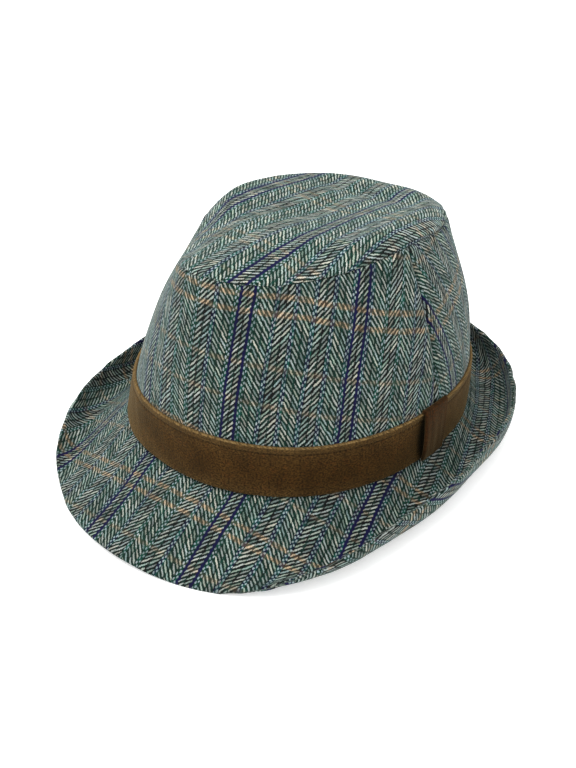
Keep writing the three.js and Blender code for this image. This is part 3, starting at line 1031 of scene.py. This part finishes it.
    # Colours of the weft, dash by dash
    weft = nodes.mix(nodes.ramp(pick, *GREEN_DASH), CREAM, PALE_GREEN)
    blue_pick = nodes.random(nodes.add(strand_index, BLUE_ROW), row_index)
    weft = nodes.mix(nodes.multiply(blue_pick, BLUE_DASH_SHARE), weft, PALE_BLUE)
    weft = nodes.mix(nodes.multiply(peach, PEACH_IN_WEFT), weft, PEACH)
    pale = nodes.mix(in_margin, weft, nodes.mix(BLUE_DOT_SHARE, weft, PALE_BLUE))
    is_pale = nodes.math("MAXIMUM", dash, dot)
    colour = nodes.mix(nodes.multiply(is_pale, nodes.line(vivid, *DASH_SHADE)), ground, pale)

    fibre = nodes.multiply(nodes.noise(vector, *FIBRE), FIBRE_GAIN)
    cloudy = nodes.line(nodes.noise(vector, *CLOUD), CLOUD_GAIN, lightness)
    nodes.set(Base_Color=nodes.scaled(colour, nodes.multiply(fibre, cloudy)),
              Roughness=nodes.line(is_pale, *TWEED_ROUGHNESS),
              Specular_IOR_Level=0.2,
              Sheen_Weight=0.2,
              Sheen_Roughness=0.3,
              Sheen_Tint=TWEED_SHEEN)
    height = nodes.add(nodes.multiply(is_pale, DASH_HEIGHT), nodes.multiply(fibre, FIBRE_HEIGHT))
    nodes.bump(height, TWEED_BUMP)
    return nodes.material


# Band colours
BAND_BROWN = linear(72, 49, 19)
BAND_DARK = linear(20, 11, 3)
BAND_PALE = linear(134, 110, 70)
KEEPER_BROWN = linear(60, 34, 12)
FOLD_SHADE = linear(3, 2, 1)
BAND_RUST = linear(96, 44, 14)
BAND_SHEEN = (0.58, 0.45, 0.22)

# Noise in the band: stretches of the cloth, scale and detail, gain and offset
BAND_CLOUDS = (0.07, 4.0, 3.4, -1.2)
RUST_PATCHES = (0.3, 4.0, 5.0, -2.6)
GRAIN_STRETCH = (1.0, 1.3)
GRAIN = (1.0, 3.0)
SPECKS = (4.0, -1.5)
THREAD_STRETCH = (0.35, 2.2)
THREAD = (1.3, 3.0)
THREAD_STREAKS = (3.0, -1.0)
# Painted crease shade: dark streaks along the cloth
CREASE_SHADE_STRETCH = (1.7, 0.16)
CREASE_SHADE_PATCHES = (0.5, 3.0, -5.0, 2.6)

# Worn edges of the band: from its middle to past its edges, up to a limit
WEAR_REACH = 2.1
WEAR_LIMIT = 1.5

# Share of each colour in the band
WEAR_SHARE = 0.2
RUST_SHARE = 0.2
SPECK_SHARE = 0.8
THREAD_SHARE = 0.3
CLOUD_SHARE = 0.45
HEM_SHARE = 0.04
LIP_SHARE = (0.5, 0.1)
STITCH_SHARE = (0.45, 0.35)

# Lines along the band: half widths and softness
LIP_LINE = (0.4 * LIP_WIDTH, 0.2)
HEM_SOFTNESS = 0.3
STITCH_ROW = (0.4, 0.2)
STITCH_BREAK = (0.14, 0.06)
# Softness of the painted shadow under the keeper's front edge
FOLD_SHADOW_SOFTNESS = 1.6

# Roughness and relief of the band
BAND_ROUGHNESS = (0.25, 0.72)
THREAD_HEIGHT = 0.5
STITCH_HOLE = 0.6
BAND_BUMP = 0.7


def band_material(name, light, crease_shade_share):
    """Brushed brown cloth with a fine grain, cloudy wear, a pale lip and topstitches, painted crease
    shade, and a painted shadow under the keeper's front edge.
    """
    nodes = Nodes(name)
    vector, across, along = nodes.cloth()
    off_middle = nodes.square(nodes.line(along, WEAR_REACH / BAND_HEIGHT, 1.0))
    wear = nodes.multiply(off_middle, nodes.math("LESS_THAN", off_middle, WEAR_LIMIT))
    cloud = nodes.patches(vector, *BAND_CLOUDS)
    grain = nodes.noise(nodes.stretched(across, along, GRAIN_STRETCH), *GRAIN)
    speck = nodes.ramp(grain, *SPECKS)
    rust = nodes.patches(nodes.join(along, across), *RUST_PATCHES)
    thread = nodes.noise(nodes.stretched(across, along, THREAD_STRETCH), *THREAD)
    streak = nodes.ramp(thread, *THREAD_STREAKS)
    crease = nodes.patches(nodes.stretched(across, along, CREASE_SHADE_STRETCH), *CREASE_SHADE_PATCHES)
    colour = nodes.mix(nodes.multiply(wear, WEAR_SHARE), light, BAND_PALE)
    colour = nodes.mix(nodes.multiply(rust, RUST_SHARE), colour, BAND_RUST)
    colour = nodes.mix(nodes.multiply(nodes.subtract(1.0, speck), SPECK_SHARE), colour, BAND_DARK)
    colour = nodes.mix(nodes.multiply(nodes.subtract(1.0, streak), THREAD_SHARE), colour, BAND_DARK)
    colour = nodes.mix(nodes.multiply(cloud, CLOUD_SHARE), colour, BAND_DARK)
    # Painted shade in the creases, darkening the cloth in streaks
    colour = nodes.mix(nodes.multiply(crease, crease_shade_share), colour, BAND_DARK)

    # Pale lip and hem along the top edge, and the stitches below them
    hem = nodes.below(nodes.subtract(0.0, along), STITCH_DEPTH, HEM_SOFTNESS)
    lip = nodes.below(nodes.away(along, -0.5 * LIP_WIDTH), *LIP_LINE)
    row = nodes.below(nodes.away(along, -STITCH_DEPTH), *STITCH_ROW)
    stitch_place = nodes.math("FRACT", nodes.math("DIVIDE", across, STITCH_LENGTH))
    between = nodes.below(nodes.away(stitch_place, 0.5), *STITCH_BREAK)
    colour = nodes.mix(nodes.multiply(hem, HEM_SHARE), colour, BAND_PALE)
    colour = nodes.mix(nodes.multiply(lip, nodes.line(speck, *LIP_SHARE)), colour, BAND_PALE)
    colour = nodes.mix(nodes.multiply(row, nodes.line(between, *STITCH_SHARE)), colour, BAND_DARK)

    # Painted shadow beneath the keeper's front edge, widest at half height
    bow = nodes.subtract(FOLD_SHADOW_WIDTH, nodes.multiply(off_middle, FOLD_SHADOW_WIDTH))
    before_fold_shadow = nodes.subtract(nodes.multiply(across, -1.0), bow)
    fold_shadow = nodes.below(before_fold_shadow, 0.0, FOLD_SHADOW_SOFTNESS)
    fold_shadow = nodes.multiply(fold_shadow, nodes.math("LESS_THAN", across, 0.5 * KEEPER_WIDTH))
    colour = nodes.mix(fold_shadow, colour, FOLD_SHADE)

    nodes.set(Base_Color=colour,
              Roughness=nodes.line(grain, *BAND_ROUGHNESS),
              Specular_IOR_Level=0.05,
              Sheen_Weight=0.2,
              Sheen_Roughness=0.4,
              Sheen_Tint=BAND_SHEEN)
    height = nodes.add(grain, nodes.multiply(thread, THREAD_HEIGHT))
    height = nodes.subtract(height, nodes.multiply(nodes.multiply(row, between), STITCH_HOLE))
    nodes.bump(height, BAND_BUMP)
    return nodes.material


# Lightness and peach of each tweed, with painted light on the top's tweed, and painted crease shade of
# each band cloth
TWEED_LIGHTNESS = 0.17
TWEED_PEACH = 1.0
TIP_PAINTED_LIGHTNESS = 0.32
TIP_PEACH = 0.5
BAND_CREASE_SHADE = 0.25
KEEPER_CREASE_SHADE = 0.75

tweed = tweed_material("tweed", TWEED_LIGHTNESS, TWEED_PEACH)
# Lighter copy of the tweed for the top: painted light, as the top gets more light from above
lit_tip_tweed = tweed_material("tweed_tip_painted_light", TIP_PAINTED_LIGHTNESS, TIP_PEACH)
band_cloth = band_material("band_brown", BAND_BROWN, BAND_CREASE_SHADE)
keeper_cloth = band_material("keeper_brown", KEEPER_BROWN, KEEPER_CREASE_SHADE)

side_gap = np.degrees(0.5 * SEAM_GAP / TIP_HALF_WIDTH)
make_panel("crown_front", -90 + side_gap, 90 - side_gap, FRONT_CROSSING, tweed)
make_panel("crown_back", 90 + side_gap, 270 - side_gap, BACK_CROSSING, tweed)
make_tip(lit_tip_tweed)
make_brim(tweed)
make_hatband(band_cloth)
make_keeper(keeper_cloth)

# Floor and light, in metres and watts
FLOOR_REACH = 30.0
FLOOR_HEIGHT = -0.0002
KEY_PLACE = (-0.35, -0.25, 1.5)
KEY_TARGET = (0.0, 0.0, 0.05)
KEY_SIZE = 1.3
KEY_POWER = 22.0
STUDIO_STRENGTH = 1.35


def make_floor():
    """Plain pale floor."""
    mesh = bpy.data.meshes.new("floor")
    corners = [(-FLOOR_REACH, -FLOOR_REACH, FLOOR_HEIGHT), (FLOOR_REACH, -FLOOR_REACH, FLOOR_HEIGHT),
               (FLOOR_REACH, FLOOR_REACH, FLOOR_HEIGHT), (-FLOOR_REACH, FLOOR_REACH, FLOOR_HEIGHT)]
    mesh.from_pydata(corners, [], [(0, 1, 2, 3)])
    nodes = Nodes("floor_paint")
    nodes.set(Base_Color=(0.92, 0.92, 0.92),
              Emission_Color=(1.0, 1.0, 1.0),
              Emission_Strength=0.35,
              Roughness=0.9)
    mesh.materials.append(nodes.material)
    floor = bpy.data.objects.new("floor", mesh)
    bpy.context.scene.collection.objects.link(floor)


def make_key_light():
    """Large soft lamp above, a little to the front and to the hat's right."""
    data = bpy.data.lights.new("key", "AREA")
    data.shape = "DISK"
    data.size = KEY_SIZE
    data.energy = KEY_POWER
    light = bpy.data.objects.new("key", data)
    light.location = KEY_PLACE
    direction = Vector(KEY_TARGET) - Vector(KEY_PLACE)
    light.rotation_mode = "QUATERNION"
    light.rotation_quaternion = direction.to_track_quat("-Z", "Y")
    bpy.context.scene.collection.objects.link(light)


def make_world():
    """Even white light from all around."""
    world = bpy.data.worlds.new("studio")
    world.use_nodes = True
    background = world.node_tree.nodes["Background"]
    background.inputs["Color"].default_value = (1.0, 1.0, 1.0, 1.0)
    background.inputs["Strength"].default_value = STUDIO_STRENGTH
    bpy.context.scene.world = world


# Camera place and directions in the part's frame, its lens in millimetres, its range in metres
CAMERA_PLACE = (0.26083, -0.2796, 0.28349)
CAMERA_RIGHT = (0.7486, 0.66185, -0.03932)
CAMERA_UP = (-0.34471, 0.43919, 0.82963)
CAMERA_BACK = (0.56636, -0.60751, 0.55693)
CAMERA_LENS = 37.66
CAMERA_SENSOR = 36.0
CAMERA_RANGE = (0.01, 100.0)


def make_camera():
    """Camera at the photograph's angle."""
    data = bpy.data.cameras.new("camera")
    data.lens = CAMERA_LENS
    data.sensor_width = CAMERA_SENSOR
    data.clip_start, data.clip_end = CAMERA_RANGE
    camera = bpy.data.objects.new("camera", data)
    matrix = np.eye(4)
    matrix[:3, :3] = np.array([CAMERA_RIGHT, CAMERA_UP, CAMERA_BACK]).T
    matrix[:3, 3] = CAMERA_PLACE
    camera.matrix_world = Matrix(matrix.tolist())
    bpy.context.scene.collection.objects.link(camera)
    bpy.context.scene.camera = camera


make_floor()
make_key_light()
make_world()
make_camera()
bpy.context.scene.view_settings.view_transform = "Standard"
